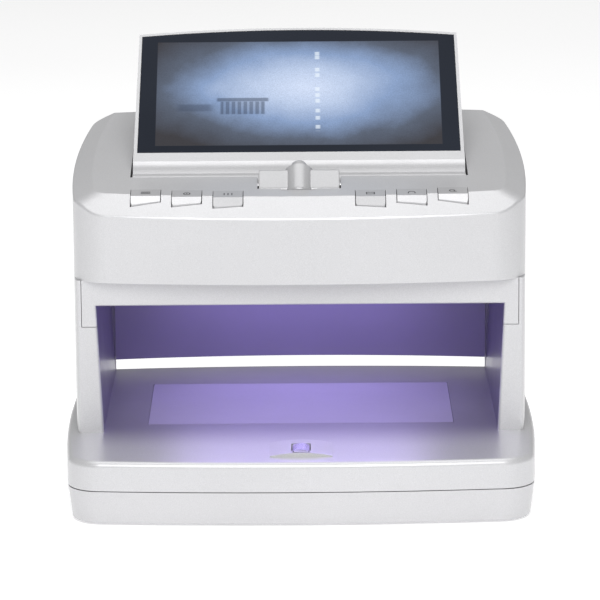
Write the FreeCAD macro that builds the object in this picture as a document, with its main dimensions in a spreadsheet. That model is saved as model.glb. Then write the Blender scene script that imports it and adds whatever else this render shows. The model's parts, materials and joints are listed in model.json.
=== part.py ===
import FreeCAD, Part
import os
import re
import Sketcher

# Counterfeit bill detector: a desk-top arch with a lit inspection bay, six push keys on the hood
# and a tilting display. Frame: +X to the operator's right, +Y to the rear, +Z up, origin on the
# table under the middle of the base. Millimetres and degrees.

SIZES = {
    # base
    "base_corner_x": 124.8,
    "base_corner_y": 106.1,
    "base_side_bulge": 5.2,
    "base_end_bulge": 6.4,
    "base_corner_radius": 19,
    "deck_top": 36,
    "deck_edge_radius": 3.2,
    "seam_height": 19.6,
    "seam_gap": 0.5,
    "tray_bottom": 0.8,
    "tray_taper": 7,
    "tray_edge_radius": 1.8,
    "wall": 2.5,
    "foot_radius": 8,
    "foot_x": 98,
    "foot_y": 82,
    "screw_head_radius": 3,
    "screw_shank_radius": 1.5,
    # arch
    "arch_front": -44.5,
    "arch_side_radius": 520,
    "arch_side_x": 126.2,
    "arch_widest_y": 15,
    "arch_rear_corner_y": 104.2,
    "arch_rear_bulge": 8.2,
    "arch_rear_radius": 10,
    "bay_half_foot": 108.7,
    "bay_half_top": 112,
    "bay_top": 107.5,
    "lintel_seam_z": 96,
    "lintel_half": 119.8,
    "lintel_depth": 9,
    "joint_line": 0.35,
    "slot_top": 44,
    "back_inner_y": 103.5,
    "back_bulge": 8,
    "skin": 2,
    # hood
    "hood_bottom": 122,
    "hood_front_corner_y": -49.3,
    "hood_front_bulge": 9.8,
    "hood_front_radius": 21,
    "hood_slope": 7.75,
    "hood_top_y": -48,
    "hood_top_z": 168.9,
    "band_down": 8.4,
    "band_in": 11.6,
    "side_band_down": 4.9,
    "band_round": 1.6,
    "top_corner_in": 8.2,
    "top_front_bulge": 8.4,
    "top_front_half": 112,
    "top_corner_radius": 18,
    "hood_wall": 2.4,
    "pan_thickness": 2.4,
    # display well and hinge
    "well_half": 93.4,
    "well_front": -14,
    "well_front_under": -17.2,
    "well_rear": 106,
    "well_drop": 23.2,
    "notch_half": 22.9,
    "well_wall": 2,
    "notch_front": -34.9,
    "notch_floor": 155,
    "notch_scallop": 15.2,
    "notch_wall": 3.6,
    "tilt_y": -22.5,
    "tilt_z": 170,
    "lean": 35,
    "block_half": 22.2,
    "block_top": 7.8,
    "nose_length": 7.5,
    "nose_taper": 12,
    "block_half_depth": 8.6,
    "block_front": 5.6,
    "block_back": -5.8,
    "post_radius": 8.4,
    "post_low": -11,
    "post_high": 8.6,
    "shaft_radius": 1.5,
    "shaft_end": 31,
    "shaft_play": 0.06,
    "bracket_x": 24.9,
    "bracket_front": 5.6,
    "bracket_rear": 3.1,
    "bracket_low": 150,
    "bracket_high": 171,
    "bracket_thickness": 3.2,
    # display, along (u) and out of (n) its own plane, measured from the tilt axis
    "glass_face": -4.8,
    "split_face": -10.5,
    "display_back": -18.6,
    "chin_centre_u": 11.6,
    "chin_centre_n": -11.8,
    "chin_radius": 6.9,
    "chin_end": 21.8,
    "chin_flat": 24,
    "display_half_low": 92.2,
    "display_half_high": 90.9,
    "display_top": 126,
    "display_arch": 4.8,
    "glass_low": 30.8,
    "glass_top": 124.2,
    "glass_half_low": 90,
    "glass_half_high": 89.2,
    "glass_thickness": 1.2,
    "panel_low": 33,
    "panel_high": 122,
    "panel_half": 83,
    # keys
    "key_half": 8,
    "key_rear": 11,
    "key_reach": 5,
    "key_skin": 2,
    "key_gap": 0.42,
    "key_stem": 6.4,
    "key_travel": 1.2,
    "key_proud": 0.25,
    # inspection plate and magnetic sensor
    "plate_half": 85,
    "plate_front": -26.5,
    "plate_rear": 66.5,
    "plate_thickness": 3,
    "hump_half": 17,
    "hump_front": -99.8,
    "hump_rear": -71.2,
    "hump_rise": 2.3,
    "head_half": 4.6,
    "head_front": -94,
    "head_rear": -80,
    # lamps, camera and boards
    "window_half": 62,
    "window_front": -4,
    "window_rear": 62,
    "board_thickness": 1.6,
    "tube_radius": 8,
    "tube_half": 68,
    "tube_z": 111.6,
    "tube_front_y": -10,
    "tube_rear_y": 76,
    "switch_x": -60,
    "inlet_x": 70,
    "rear_port_z": 11,
}

doc = FreeCAD.newDocument("BillDetector")
sheet = doc.addObject("Spreadsheet::Sheet", "Sizes")
for row, (size_name, size) in enumerate(SIZES.items(), start=1):
    sheet.set(f"A{row}", size_name.replace("_", " "))
    sheet.set(f"B{row}", str(size))
    sheet.setAlias(f"B{row}", size_name)
doc.recompute()

pieces = []


def vec(x=0.0, y=0.0, z=0.0):
    return FreeCAD.Vector(x, y, z)


def number(expression):
    """The value of an expression in the sheet's named sizes."""
    return float(sheet.evalExpression(str(expression)))


def bound(expression):
    """The expression with each named size read from the sheet."""
    return re.sub(
        r"[a-z][a-z_]*[a-z]",
        lambda word: f"Sizes.{word.group()}" if word.group() in SIZES else word.group(),
        str(expression),
    )


def bind(thing, prop, expression):
    thing.setExpression(prop, bound(expression))


# ---- sketches ------------------------------------------------------------------------------


def new_body(label):
    body = doc.addObject("PartDesign::Body", label)
    body.Label = label
    pieces.append(body)
    return body


def sketch_on(body, role, height="0"):
    """A sketch on one of the body's own planes, moved along the plane's normal by height."""
    sketch = body.newObject("Sketcher::SketchObject", f"{body.Label}_sketch")
    plane = [feature for feature in body.Origin.OriginFeatures if feature.Role == role][0]
    sketch.AttachmentSupport = [(plane, "")]
    sketch.MapMode = "FlatFace"
    bind(sketch, "AttachmentOffset.Base.z", height)
    return sketch


def pin_point(sketch, edge, end, x, y):
    """Holds one point of an edge at (x, y), both bound to the sheet."""
    for kind, expression in (("DistanceX", x), ("DistanceY", y)):
        place = sketch.addConstraint(
            Sketcher.Constraint(kind, -1, 1, edge, end, number(expression))
        )
        bind(sketch, f"Constraints[{place}]", expression)


def loop(sketch, corners):
    """A closed outline. A corner is (x, y) or (x, y, bulge), where bulge is how far the edge that
    starts there arches to the right of its own direction."""
    first = sketch.GeometryCount
    count = len(corners)
    points = [vec(number(corner[0]), number(corner[1])) for corner in corners]
    bulges = [corner[2] if len(corner) > 2 else None for corner in corners]
    starts = []
    for index in range(count):
        here, there = points[index], points[(index + 1) % count]
        if bulges[index] is None:
            sketch.addGeometry(Part.LineSegment(here, there), False)
            starts.append((1, 2))
            continue
        across = there - here
        side = vec(across.y, -across.x).normalize()
        rise = number(bulges[index])
        sketch.addGeometry(Part.Arc(here, (here + there) * 0.5 + side * rise, there), False)
        starts.append((1, 2) if rise > 0 else (2, 1))
    for index in range(count):
        after = (index + 1) % count
        sketch.addConstraint(
            Sketcher.Constraint(
                "Coincident", first + index, starts[index][1], first + after, starts[after][0]
            )
        )
    for index in range(count):
        pin_point(sketch, first + index, starts[index][0], *corners[index][:2])
        if bulges[index] is not None:
            here, there = corners[index], corners[(index + 1) % count]
            chord = f"((({there[0]}) - ({here[0]}))^2 + (({there[1]}) - ({here[1]}))^2)"
            radius = f"{chord} / (8 * abs({bulges[index]})) + abs({bulges[index]}) / 2"
            place = sketch.addConstraint(
                Sketcher.Constraint("Radius", first + index, number(radius))
            )
            bind(sketch, f"Constraints[{place}]", radius)


def rectangle(sketch, x_low, x_high, y_low, y_high):
    loop(sketch, [(x_low, y_low), (x_high, y_low), (x_high, y_high), (x_low, y_high)])


def circle(sketch, x, y, radius):
    centre = vec(number(x), number(y))
    edge = sketch.addGeometry(Part.Circle(centre, vec(0, 0, 1), number(radius)), False)
    place = sketch.addConstraint(Sketcher.Constraint("Radius", edge, number(radius)))
    bind(sketch, f"Constraints[{place}]", radius)
    pin_point(sketch, edge, 3, x, y)


# ---- features ------------------------------------------------------------------------------


def pad(body, sketch, length, side="One side", back=False, taper=None):
    feature = body.newObject("PartDesign::Pad", f"{body.Label}_pad")
    feature.Profile = sketch
    feature.SideType = side
    feature.Reversed = back
    bind(feature, "Length", length)
    if taper is not None:
        bind(feature, "TaperAngle", taper)
    sketch.Visibility = False
    doc.recompute()
    return feature


def pocket(body, sketch, length=None, side="One side", back=False):
    """Cuts the sketch out of the body: length deep, or right through when length is None."""
    before = body.Shape.Volume
    feature = body.newObject("PartDesign::Pocket", f"{body.Label}_pocket")
    feature.Profile = sketch
    feature.SideType = side
    feature.Reversed = back
    if length is None:
        feature.Type = "ThroughAll"
    else:
        bind(feature, "Length", length)
    doc.recompute()
    if feature.Shape.isNull() or feature.Shape.Volume > before - 1e-3:
        raise RuntimeError(f"{feature.Label} removes nothing")
    return feature


def edge_names(shape, test):
    return [f"Edge{i}" for i, edge in enumerate(shape.Edges, start=1) if test(edge)]


def is_upright(edge):
    ends = [vertex.Point for vertex in edge.Vertexes]
    return len(ends) == 2 and abs((ends[1] - ends[0]).normalize().z) > 0.999


def fillet(body, test, radius):
    """Rounds the edges of the body's last feature that pass the test."""
    base = body.Tip
    feature = body.newObject("PartDesign::Fillet", f"{body.Label}_fillet")
    feature.Base = (base, edge_names(base.Shape, test))
    bind(feature, "Radius", radius)
    doc.recompute()
    if feature.Shape.isNull():
        raise RuntimeError(f"{feature.Label} fails")
    return feature


def shape_piece(label, shape):
    """A piece whose shape comes straight from solid functions."""
    piece = doc.addObject("Part::Feature", label)
    piece.Label = label
    piece.Shape = shape
    piece.Placement = FreeCAD.Placement()
    pieces.append(piece)
    return piece


def box_piece(label, x_size, y_size, z_size, x, y, z):
    """A Part::Box of bound sizes, with its middle at (x, y) and its underside at z."""
    piece = doc.addObject("Part::Box", label)
    piece.Label = label
    bind(piece, "Length", x_size)
    bind(piece, "Width", y_size)
    bind(piece, "Height", z_size)
    bind(piece, "Placement.Base.x", f"{x} - ({x_size}) / 2")
    bind(piece, "Placement.Base.y", f"{y} - ({y_size}) / 2")
    bind(piece, "Placement.Base.z", z)
    pieces.append(piece)
    return piece


def block(x_low, x_high, y_low, y_high, z_low, z_high):
    low = [number(value) for value in (x_low, y_low, z_low)]
    high = [number(value) for value in (x_high, y_high, z_high)]
    return Part.makeBox(*[b - a for a, b in zip(low, high)], vec(*low))


def rod(radius, height, x, y, z, direction=(0, 0, 1)):
    base = vec(number(x), number(y), number(z))
    return Part.makeCylinder(number(radius), number(height), base, vec(*direction))


# ---- outlines ------------------------------------------------------------------------------


def base_outline(sketch, inset="0"):
    x = f"(base_corner_x - ({inset}))"
    y = f"(base_corner_y - ({inset}))"
    loop(
        sketch,
        [
            (f"-{x}", f"-{y}", "base_end_bulge"),
            (x, f"-{y}", "base_side_bulge"),
            (x, y, "base_end_bulge"),
            (f"-{x}", y, "base_side_bulge"),
        ],
    )


def base_inside(sketch, inset):
    """The base's plan moved inward by inset, with its corners rounded."""
    x = f"(base_corner_x - ({inset}))"
    y = f"(base_corner_y - ({inset}))"
    cut = f"(base_corner_radius - ({inset}) + 1)"
    near_x = f"({x} - {cut})"
    near_y = f"({y} - {cut})"
    end_bulge = f"(base_end_bulge * ({near_x} / {x})^2)"
    side_bulge = f"(base_side_bulge * ({near_y} / {y})^2)"
    far_x = f"({x} + base_side_bulge - {side_bulge})"
    far_y = f"({y} + base_end_bulge - {end_bulge})"
    corner = f"(0.27 * {cut})"
    loop(
        sketch,
        [
            (f"-{near_x}", f"-{far_y}", end_bulge),
            (near_x, f"-{far_y}", corner),
            (far_x, f"-{near_y}", side_bulge),
            (far_x, near_y, corner),
            (near_x, far_y, end_bulge),
            (f"-{near_x}", far_y, corner),
            (f"-{far_x}", near_y, side_bulge),
            (f"-{far_x}", f"-{near_y}", corner),
        ],
    )


def side_x(y, inset="0"):
    """Where the arch's barrel-shaped side is, at depth y."""
    return (
        f"(arch_side_x - arch_side_radius"
        f" + sqrt((arch_side_radius - ({inset}))^2 - (({y}) - arch_widest_y)^2))"
    )


def side_bulge(y_front, y_rear, inset="0"):
    """The sagitta of the barrel side between two depths."""
    chord = (
        f"((({y_rear}) - ({y_front}))^2"
        f" + ({side_x(y_rear, inset)} - {side_x(y_front, inset)})^2)"
    )
    radius = f"(arch_side_radius - ({inset}))"
    return f"({radius} - sqrt({radius}^2 - {chord} / 4))"


def hood_outline(sketch, inset="0"):
    front = f"(hood_front_corner_y + ({inset}))"
    rear = f"(arch_rear_corner_y - ({inset}))"
    bulge = side_bulge(front, rear, inset)
    loop(
        sketch,
        [
            (f"-{side_x(front, inset)}", front, "hood_front_bulge"),
            (side_x(front, inset), front, bulge),
            (side_x(rear, inset), rear, "arch_rear_bulge"),
            (f"-{side_x(rear, inset)}", rear, bulge),
        ],
    )


def hood_top(y, below="0"):
    """The height of the hood's sloping top at depth y, or of a plane that lies below it."""
    return (
        f"(hood_top_z + (({y}) - hood_top_y) * tan(hood_slope)"
        f" - ({below}) / cos(hood_slope))"
    )


def rear_arc_y(x, middle, bulge, half):
    """The depth, at x, of an arc whose middle is at the given depth and whose ends, at half, are
    bulge nearer."""
    radius = f"(({half})^2 / (2 * {bulge}) + {bulge} / 2)"
    return f"({middle} - {radius} + sqrt({radius}^2 - ({x})^2))"


# ---- base ----------------------------------------------------------------------------------


def rounded_base_corners(body, inset="0"):
    fillet(body, is_upright, f"base_corner_radius - ({inset})")


def screw_places():
    return [(x, y) for x in (-84, 0, 84) for y in (-70, 78)]


def make_base_tray():
    body = new_body("base_tray")
    outline = sketch_on(body, "XY_Plane", "seam_height - seam_gap / 2")
    base_outline(outline)
    depth = "seam_height - seam_gap / 2 - tray_bottom"
    pad(body, outline, depth, back=True, taper=f"-{number('tray_taper')}")
    fillet(body, lambda edge: not edge.BoundBox.ZLength < 10, "base_corner_radius - 1")
    fillet(
        body,
        lambda edge: edge.BoundBox.ZMax < number("tray_bottom + 0.1"),
        "tray_edge_radius",
    )
    inside = sketch_on(body, "XY_Plane", "seam_height - seam_gap / 2")
    base_inside(inside, "wall + 3")
    pocket(body, inside, f"{depth} - wall")
    lip = sketch_on(body, "XY_Plane", "seam_height - 3")
    base_inside(lip, "wall + 0.3")
    pad(body, lip, "seam_gap + 4.5")
    hollow = sketch_on(body, "XY_Plane", "tray_bottom + wall")
    base_inside(hollow, "wall + 3")
    pocket(body, hollow, back=True)
    holes = sketch_on(body, "XY_Plane", "0")
    for x, y in screw_places():
        circle(holes, x, y, "screw_shank_radius + 0.3")
    pocket(body, holes, back=True)
    recesses = sketch_on(body, "XY_Plane", "tray_bottom + 1.4")
    for x, y in screw_places():
        circle(recesses, x, y, "screw_head_radius + 0.3")
    pocket(body, recesses)
    ports = sketch_on(body, "XZ_Plane", "-base_corner_y + 12")
    rectangle(ports, "inlet_x - 4.6", "inlet_x + 4.6", "rear_port_z - 5.6", "rear_port_z + 5.6")
    rectangle(ports, "switch_x - 9.6", "switch_x + 9.6", "rear_port_z - 6.6", "rear_port_z + 6.6")
    pocket(body, ports)


def make_base_cover():
    body = new_body("base_cover")
    outline = sketch_on(body, "XY_Plane", "seam_height + seam_gap / 2")
    base_outline(outline)
    pad(body, outline, "deck_top - seam_height - seam_gap / 2")
    rounded_base_corners(body)
    fillet(
        body,
        lambda edge: edge.BoundBox.ZMin > number("deck_top - 0.1"),
        "deck_edge_radius",
    )
    inside = sketch_on(body, "XY_Plane", "seam_height + seam_gap / 2")
    base_inside(inside, "wall")
    pocket(body, inside, "deck_top - seam_height - seam_gap / 2 - wall", back=True)
    ledge = sketch_on(body, "XY_Plane", "deck_top - plate_thickness - 2")
    rectangle(ledge, "-plate_half - 3", "plate_half + 3", "plate_front - 3", "plate_rear + 3")
    rectangle(ledge, "-plate_half + 3", "plate_half - 3", "plate_front + 3", "plate_rear - 3")
    pad(body, ledge, "plate_thickness + 2 - wall")
    window = sketch_on(body, "XY_Plane", "deck_top")
    rectangle(window, "-plate_half - 0.2", "plate_half + 0.2", "plate_front - 0.2", "plate_rear + 0.2")
    pocket(body, window, "plate_thickness")
    gap = sketch_on(body, "XY_Plane", "deck_top")
    rectangle(gap, "-head_half - 1", "head_half + 1", "head_front - 1", "head_rear + 1")
    pocket(body, gap, "wall")
    bosses = sketch_on(body, "XY_Plane", "tray_bottom + wall + 0.1")
    for x, y in screw_places():
        circle(bosses, x, y, "screw_shank_radius + 2.4")
    pad(body, bosses, "deck_top - tray_bottom - 2 * wall - 0.1")
    pilots = sketch_on(body, "XY_Plane", "tray_bottom + wall")
    for x, y in screw_places():
        circle(pilots, x, y, "screw_shank_radius - 0.2")
    pocket(body, pilots, "12", back=True)


def make_feet():
    for depth_name, depth in (("front", -1), ("rear", 1)):
        for side_name, side in (("left", -1), ("right", 1)):
            foot = doc.addObject("Part::Cylinder", f"foot_{depth_name}_{side_name}")
            foot.Label = f"foot_{depth_name}_{side_name}"
            bind(foot, "Radius", "foot_radius")
            bind(foot, "Height", "tray_bottom")
            bind(foot, "Placement.Base.x", f"{side} * foot_x")
            bind(foot, "Placement.Base.y", f"{depth} * foot_y")
            pieces.append(foot)


def make_screws(label, places, direction, length):
    """Pan-head screws in one node: each place is where a head's underside sits."""
    solids = []
    for x, y, z in places:
        lift = vec(*direction) * -1.3
        head = Part.makeCylinder(number("screw_head_radius"), 1.3, vec(x, y, z) + lift, vec(*direction))
        shank = Part.makeCylinder(
            number("screw_shank_radius - 0.22"), number(length), vec(x, y, z), vec(*direction)
        )
        cross = Part.makeBox(3.2, 0.7, 0.7, vec(-1.6, -0.35, -0.35))
        other = Part.makeBox(0.7, 3.2, 0.7, vec(-0.35, -1.6, -0.35))
        turn = FreeCAD.Rotation(vec(0, 0, 1), vec(*direction))
        drive = cross.fuse(other)
        drive.Placement = FreeCAD.Placement(vec(x, y, z) + lift, turn)
        solids.append(head.fuse(shank).cut(drive))
    return shape_piece(label, Part.makeCompound(solids))


def make_inspection_plate():
    body = new_body("inspection_plate")
    outline = sketch_on(body, "XY_Plane", "deck_top - plate_thickness")
    rectangle(outline, "-plate_half", "plate_half", "plate_front", "plate_rear")
    pad(body, outline, "plate_thickness")
    fillet(body, is_upright, "1.2")


def make_sensor():
    body = new_body("sensor_housing")
    profile = sketch_on(body, "XZ_Plane", "-hump_front")
    loop(
        profile,
        [
            ("-hump_half", "deck_top"),
            ("hump_half", "deck_top"),
            ("hump_half", "deck_top + 0.5", "hump_rise - 0.5"),
            ("-hump_half", "deck_top + 0.5"),
        ],
    )
    pad(body, profile, "hump_rear - hump_front", back=True)
    window = sketch_on(body, "XY_Plane", "deck_top")
    rectangle(window, "-head_half - 0.7", "head_half + 0.7", "head_front - 0.7", "head_rear + 0.7")
    pocket(body, window, "hump_rise + 4", back=True)
    head = new_body("magnetic_head")
    crown = sketch_on(head, "XZ_Plane", "-head_front")
    loop(
        crown,
        [
            ("-head_half", "deck_top - 7"),
            ("head_half", "deck_top - 7"),
            ("head_half", "deck_top + 1.6", "0.9"),
            ("-head_half", "deck_top + 1.6"),
        ],
    )
    pad(head, crown, "head_rear - head_front", back=True)
    flange = sketch_on(head, "XY_Plane", "deck_top - 7")
    rectangle(flange, "-head_half - 4", "head_half + 4", "head_front - 4", "head_rear + 4")
    pad(head, flange, "7 - wall")


# ---- arch ----------------------------------------------------------------------------------


def make_column(label, side):
    """A hollow side wall of the bay, with its inner face leaning outward towards the top."""
    body = new_body(label)
    rear = "arch_rear_corner_y"
    outline = sketch_on(body, "XY_Plane", "deck_top")
    middle = f"({rear} + arch_rear_bulge)"
    inner_rear = rear_arc_y("bay_half_foot", middle, "arch_rear_bulge", side_x(rear))
    corners = [
        ("bay_half_foot", "arch_front"),
        (side_x("arch_front"), "arch_front", side_bulge("arch_front", rear)),
        (side_x(rear), rear),
        ("bay_half_foot", inner_rear),
    ]
    if side < 0:
        corners = [
            ("-bay_half_foot", "arch_front"),
            ("-bay_half_foot", inner_rear),
            (f"-{side_x(rear)}", rear, side_bulge("arch_front", rear)),
            (f"-{side_x('arch_front')}", "arch_front"),
        ]
    loop(outline, corners)
    pad(body, outline, "hood_bottom - deck_top")
    reach = number("bay_half_foot + 3")
    fillet(
        body,
        lambda edge: is_upright(edge) and abs(edge.Vertexes[0].X) > reach and edge.Vertexes[0].Y > 0,
        "arch_rear_radius",
    )
    fillet(
        body,
        lambda edge: is_upright(edge) and abs(edge.Vertexes[0].X) > reach and edge.Vertexes[0].Y < 0,
        "2",
    )
    lean = sketch_on(body, "XZ_Plane", "-back_inner_y + back_bulge")
    wedge = [
        (f"{side} * (bay_half_foot - 1)", "deck_top - 0.01"),
        (f"{side} * bay_half_foot", "deck_top - 0.01"),
        (f"{side} * bay_half_top", "bay_top"),
        (f"{side} * bay_half_top", "hood_bottom + 1"),
        (f"{side} * (bay_half_foot - 1)", "hood_bottom + 1"),
    ]
    loop(lean, wedge)
    pocket(body, lean, back=True)
    rebate = sketch_on(body, "XZ_Plane", "-arch_front")
    rectangle(
        rebate,
        f"{side} * (bay_half_foot - 1)",
        f"{side} * (lintel_half + joint_line)",
        "lintel_seam_z - joint_line",
        "hood_bottom + 1",
    )
    pocket(body, rebate, "lintel_depth + 0.2")
    hollow = sketch_on(body, "XY_Plane", "hood_bottom")
    rectangle(
        hollow,
        f"{side} * (bay_half_top + wall)",
        f"{side} * (arch_side_x - wall - 3.5)",
        "arch_front + lintel_depth + wall",
        f"{rear} - 14",
    )
    pocket(body, hollow, "hood_bottom - deck_top - wall")
    fillet(
        body,
        lambda edge: abs(edge.CenterOfMass.y - number("arch_front")) < 0.01
        and abs(edge.CenterOfMass.x) < reach
        and edge.BoundBox.ZLength > 20,
        "1.6",
    )


def make_lintel():
    body = new_body("lintel_frame")
    face = sketch_on(body, "XZ_Plane", "-arch_front")
    lean = "(bay_half_top - bay_half_foot) / (bay_top - deck_top)"
    inner_foot = f"(bay_half_foot + (lintel_seam_z - deck_top) * {lean})"
    loop(
        face,
        [
            ("-lintel_half", "lintel_seam_z"),
            (f"-{inner_foot}", "lintel_seam_z"),
            ("-bay_half_top", "bay_top"),
            ("bay_half_top", "bay_top"),
            (inner_foot, "lintel_seam_z"),
            ("lintel_half", "lintel_seam_z"),
            ("lintel_half", "hood_bottom"),
            ("-lintel_half", "hood_bottom"),
        ],
    )
    pad(body, face, "lintel_depth", back=True)
    bay = number("bay_half_top + 0.1")
    fillet(
        body,
        lambda edge: abs(edge.CenterOfMass.y - number("arch_front")) < 0.01
        and abs(edge.CenterOfMass.x) < bay
        and edge.CenterOfMass.z < number("bay_top + 1")
        and (edge.BoundBox.ZLength > 5 or edge.BoundBox.XLength > 50),
        "1.2",
    )


def make_back_walls():
    inner = new_body("bay_back_wall")
    outline = sketch_on(inner, "XY_Plane", "slot_top")
    half = "(bay_half_foot - 0.2)"
    front = "(back_inner_y - back_bulge)"
    loop(
        outline,
        [
            (f"-{half}", front),
            (half, front),
            (half, f"({front} + skin)", "back_bulge"),
            (f"-{half}", f"({front} + skin)"),
        ],
    )
    pad(inner, outline, "hood_bottom - slot_top")
    hollow = sketch_on(inner, "XY_Plane", "slot_top")
    loop(
        hollow,
        [
            (f"-{half}", f"({front} - 1)"),
            (half, f"({front} - 1)"),
            (half, front, "back_bulge"),
            (f"-{half}", front),
        ],
    )
    pocket(inner, hollow, back=True)
    outer = new_body("rear_panel")
    middle = "(arch_rear_corner_y + arch_rear_bulge)"
    edge_y = rear_arc_y(half, middle, "arch_rear_bulge", side_x("arch_rear_corner_y"))
    sketch = sketch_on(outer, "XY_Plane", "slot_top")
    rise = f"({middle} - {edge_y})"
    loop(
        sketch,
        [
            (f"-{half}", f"({edge_y} - skin)"),
            (half, f"({edge_y} - skin)"),
            (half, edge_y, rise),
            (f"-{half}", edge_y),
        ],
    )
    pad(outer, sketch, "hood_bottom - slot_top - 0.3")
    inside = sketch_on(outer, "XY_Plane", "slot_top")
    loop(
        inside,
        [
            (f"-{half}", f"({edge_y} - skin - 1)"),
            (half, f"({edge_y} - skin - 1)"),
            (half, f"({edge_y} - skin)", rise),
            (f"-{half}", f"({edge_y} - skin)"),
        ],
    )
    pocket(outer, inside, back=True)
    vents = sketch_on(outer, "XZ_Plane", "0")
    for side in (-1, 1):
        for slit in range(9):
            x = side * (30 + slit * 6)
            rectangle(vents, f"{x} - 1.2", f"{x} + 1.2", "slot_top + 30", "slot_top + 58")
    pocket(outer, vents)


# ---- hood ----------------------------------------------------------------------------------


def key_rows():
    """Each key's name, side and middle in x, its crease in y, how long its lower flap is in plan
    at its inner and outer edge, and how steeply the flap folds down."""
    rows = []
    for side_name, side in (("left", -1), ("right", 1)):
        for name, x, crease, inner, outer, fold in (
            ("inner", 38.8, -49.6, 3.1, 3.5, 50),
            ("middle", 61.3, -48.4, 2.0, 2.7, 54.5),
            ("outer", 83.8, -46.4, 1.6, 2.7, 57),
        ):
            rows.append((f"{side_name}_{name}", side, side * x, crease, inner, outer, fold))
    return rows


def tilted_sketch(body, x, y, below="0"):
    """A sketch in the hood's sloping top plane, or one below it, with its origin at (x, y)."""
    sketch = sketch_on(body, "XY_Plane", hood_top(y, below))
    sketch.AttachmentOffset = FreeCAD.Placement(
        vec(number(x), number(y), number(hood_top(y, below))),
        FreeCAD.Rotation(vec(1, 0, 0), number("hood_slope")),
    )
    bind(sketch, "AttachmentOffset.Base.x", x)
    bind(sketch, "AttachmentOffset.Base.y", y)
    return sketch


def key_outline(sketch, side, inner, outer, gap):
    """A key seen square on to the hood's top: straight sides, and a front edge that is longer on
    the side away from the middle of the hood."""
    half = f"(key_half + {gap})"
    left, right = (outer, inner) if side < 0 else (inner, outer)
    loop(
        sketch,
        [
            (f"-{half}", f"-({left} + {gap})"),
            (half, f"-({right} + {gap})"),
            (half, f"key_rear + {gap}"),
            (f"-{half}", f"key_rear + {gap}"),
        ],
    )


def helper_body(label):
    """A body that only shapes another piece and isn't one itself."""
    body = doc.addObject("PartDesign::Body", label)
    body.Label = label
    return body


def hood_solid(body, inset, floor):
    """The hood's outer form, or the same form moved inward: a block with the arch's plan, cut by
    a cap that has the sloping top and the band round its front and sides."""
    front_cap = helper_body(f"{body.Label}_cap")
    face = tilted_sketch(front_cap, "0", "hood_top_y", inset)
    rear = "150"
    far = f"((({rear}) - hood_top_y) / cos(hood_slope))"
    rear_x = f"({side_x(rear)} - band_in)"
    front_radius = "(top_front_half^2 / (2 * top_front_bulge) + top_front_bulge / 2)"
    reach = "(top_front_half + 90)"
    sagitta = f"({front_radius} - sqrt({front_radius}^2 - {reach}^2))"
    corner_v = f"(top_corner_in - top_front_bulge + {sagitta})"
    loop(
        face,
        [
            (f"-{reach}", corner_v, sagitta),
            (reach, corner_v),
            (reach, far),
            (f"-{reach}", far),
        ],
    )
    pad(front_cap, face, "90", back=True, taper="atan(band_in / band_down)")
    side_cap = helper_body(f"{body.Label}_side_cap")
    spine = tilted_sketch(side_cap, "0", "hood_top_y", inset)
    near = "(hood_top_y - 40)"
    near_x = f"({side_x(near)} - band_in)"
    loop(
        spine,
        [
            (f"-{near_x}", "-40"),
            (near_x, "-40", side_bulge(near, rear, "band_in")),
            (rear_x, far),
            (f"-{rear_x}", far, side_bulge(near, rear, "band_in")),
        ],
    )
    pad(side_cap, spine, "90", back=True, taper="atan(band_in / side_band_down)")
    combine(front_cap, side_cap, "Common")
    top_front = number("hood_top_y + top_corner_in + 2")
    fillet(
        front_cap,
        lambda edge: edge.BoundBox.ZLength > 50 and edge.BoundBox.YMax < top_front,
        "top_corner_radius",
    )
    plan = sketch_on(body, "XY_Plane", floor)
    hood_outline(plan, inset)
    pad(body, plan, "100")
    fillet(
        body,
        lambda edge: is_upright(edge) and edge.Vertexes[0].Y < 0,
        f"hood_front_radius - ({inset})",
    )
    fillet(
        body,
        lambda edge: is_upright(edge) and edge.Vertexes[0].Y > 80,
        f"arch_rear_radius - ({inset})",
    )
    combine(body, front_cap, "Common")


def combine(body, other, kind):
    """Joins, cuts or intersects a body with another one."""
    feature = body.newObject("PartDesign::Boolean", f"{body.Label}_{kind.lower()}")
    feature.addObjects([other])
    feature.Type = kind
    doc.recompute()
    return feature


def make_hood():
    body = new_body("hood_shell")
    hood_solid(body, "0", "hood_bottom")
    round_band(body)
    inner = helper_body("hood_inside")
    hood_solid(inner, "hood_wall", "hood_bottom - 1")
    combine(body, inner, "Cut")
    opening = sketch_on(body, "XY_Plane", "hood_bottom + 90")
    rear = hood_inside_rear("well_half")
    loop(
        opening,
        [
            ("-well_half", "well_front"),
            ("well_half", "well_front"),
            ("well_half", rear, f"({hood_inside_rear('0')} - {rear})"),
            ("-well_half", rear),
        ],
    )
    pocket(body, opening, "80")
    notch = sketch_on(body, "XY_Plane", "hood_bottom + 90")
    rectangle(notch, "-notch_half", "notch_half", "notch_front", "well_front + 1")
    pocket(body, notch, "80")
    scallop = sketch_on(body, "YZ_Plane")
    circle(scallop, "tilt_y", "tilt_z", "notch_scallop")
    pocket(body, scallop, "2 * (post_radius + 1.4)", side="Symmetric")
    relief = tilted_sketch(body, "0", "tilt_y", "0.5")
    for side in (-1, 1):
        rectangle(
            relief,
            f"{side} * (notch_half - 0.5)",
            f"{side} * (shaft_end + 1)",
            "-bracket_front - 0.6",
            "bracket_rear + 0.6",
        )
    pocket(body, relief, "hood_wall")
    for name, side, x, crease, inner, outer, fold in key_rows():
        hole = tilted_sketch(body, x, crease)
        key_outline(hole, side, inner, outer, "key_gap")
        pocket(body, hole, "30", side="Symmetric")


def hood_inside_rear(x):
    """The depth of the hood's rear wall, on its inner side, at x."""
    middle = "(arch_rear_corner_y + arch_rear_bulge - hood_wall)"
    return rear_arc_y(x, middle, "arch_rear_bulge", side_x("arch_rear_corner_y"))


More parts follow.
